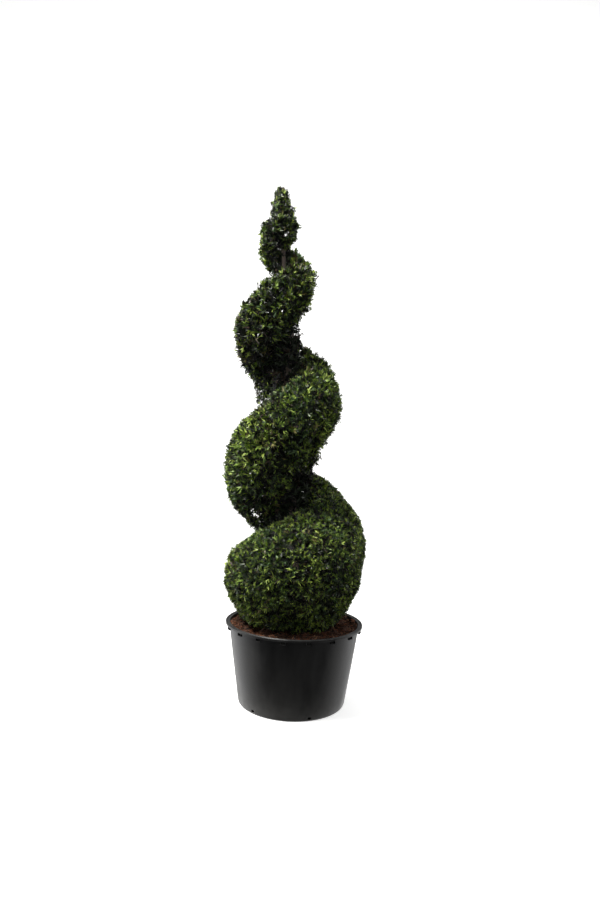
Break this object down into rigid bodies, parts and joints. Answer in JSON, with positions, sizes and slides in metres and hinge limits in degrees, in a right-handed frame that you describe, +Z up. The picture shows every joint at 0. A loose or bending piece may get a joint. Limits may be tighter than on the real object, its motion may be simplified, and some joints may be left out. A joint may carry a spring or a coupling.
{
  "type": "spiral topiary in a planter",
  "caption": "Clipped evergreen spiral climbing a single leaning trunk, standing in a round black nursery container with a flanged rim and bark mulch.",
  "frame": {"origin": "centre of the container's flat underside", "axes": "+Z up along the plant, +X to the right and +Y to the back seen from the front; the trunk leans towards -X"},
  "size_m": [1.0111, 0.9837, 3.602],
  "materials": {
    "container_plastic": "semi-matte black moulded plastic",
    "root_ball": "loose reddish-brown bark mulch over soil",
    "bark": "pinkish-brown fibrous bark",
    "foliage": "dense flat sprays of scale leaves, matt green"
  },
  "bodies": {
    "root": {"pot": "container_plastic", "soil": "root_ball", "trunk": "bark", "bough_01": "bark", "mass_01": "foliage", "bough_02": "bark", "mass_02": "foliage", "bough_03": "bark", "mass_03": "foliage", "bough_04": "bark", "mass_04": "foliage", "bough_05": "bark", "mass_05": "foliage", "bough_06": "bark", "mass_06": "foliage", "bough_07": "bark", "mass_07": "foliage", "bough_08": "bark", "mass_08": "foliage", "bough_09": "bark", "mass_09": "foliage", "bough_10": "bark", "mass_10": "foliage", "bough_11": "bark", "mass_11": "foliage", "bough_12": "bark", "mass_12": "foliage", "leader": "foliage"}
  },
  "joints": []
}
